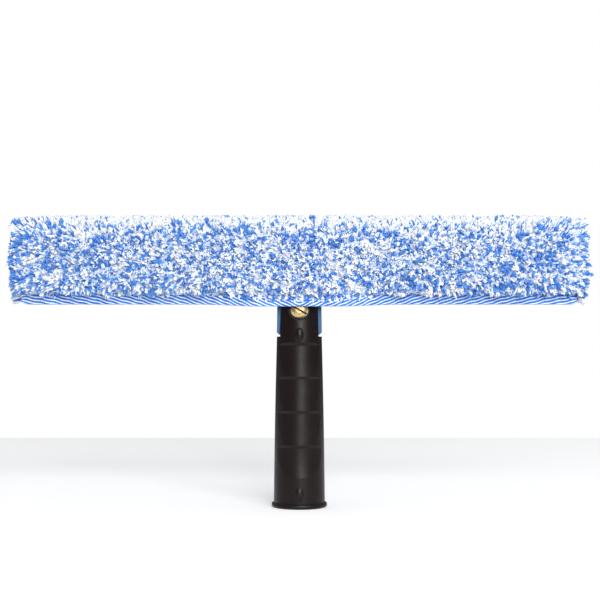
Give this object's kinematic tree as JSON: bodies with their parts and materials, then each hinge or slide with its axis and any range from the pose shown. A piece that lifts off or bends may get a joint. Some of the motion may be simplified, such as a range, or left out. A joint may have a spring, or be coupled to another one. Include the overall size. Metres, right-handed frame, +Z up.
{
  "type": "window washer",
  "caption": "T-shaped window washer with a blue and white pile sleeve on a crossbar, swivelling on a tapered black handle with a pole socket.",
  "frame": {"origin": "centre of the handle's foot, on the surface it stands on", "axes": "+Z up along the handle, +X along the crossbar, -Y towards the screw's head (the front)"},
  "size_m": [0.36, 0.0406, 0.1802],
  "materials": {
    "handle_plastic": "satin moulded polypropylene",
    "hub_plastic": "satin moulded nylon",
    "cap_plastic": "matt",
    "nylon": "natural",
    "bar_aluminium": "extruded, mill finish",
    "rivet_aluminium": "satin",
    "brass": "turned, lightly worn",
    "steel": "zinc plated",
    "pile_cloth": "microfibre pile, white flecked with blue",
    "hem_cloth": "blue and white overlocked edge",
    "hook_tape": "woven hook tape",
    "loop_tape": "woven loop tape"
  },
  "bodies": {
    "handle_body": {"handle": "handle_plastic", "wave_washer": "steel", "pivot_nut": "brass", "friction_washers": "nylon"},
    "screw_body": {"pivot_screw": "brass"},
    "head_body": {"swivel_hub": "hub_plastic", "pivot_bush": "nylon", "hub_rivets": "rivet_aluminium", "crossbar": "bar_aluminium", "end_cap_left": "cap_plastic", "end_cap_right": "cap_plastic", "sleeve_panel": "pile_cloth", "sleeve_end_left": "pile_cloth", "sleeve_end_right": "pile_cloth", "hem_front": "hem_cloth", "hem_back": "hem_cloth", "loop_strip_left": "loop_tape", "hook_strip_left": "hook_tape", "loop_strip_right": "loop_tape", "hook_strip_right": "hook_tape"}
  },
  "joints": [
    {"name": "head_swivel", "type": "hinge", "parent": "handle_body", "child": "head_body", "pos_m": [0, 0, 0.1217], "axis": [0, 1, 0], "range_deg": [-45, 45]},
    {"name": "pivot_screw_turn", "type": "hinge", "parent": "handle_body", "child": "screw_body", "pos_m": [0, 0, 0.1217], "axis": [0, 1, 0], "range_deg": [0, 90]}
  ]
}
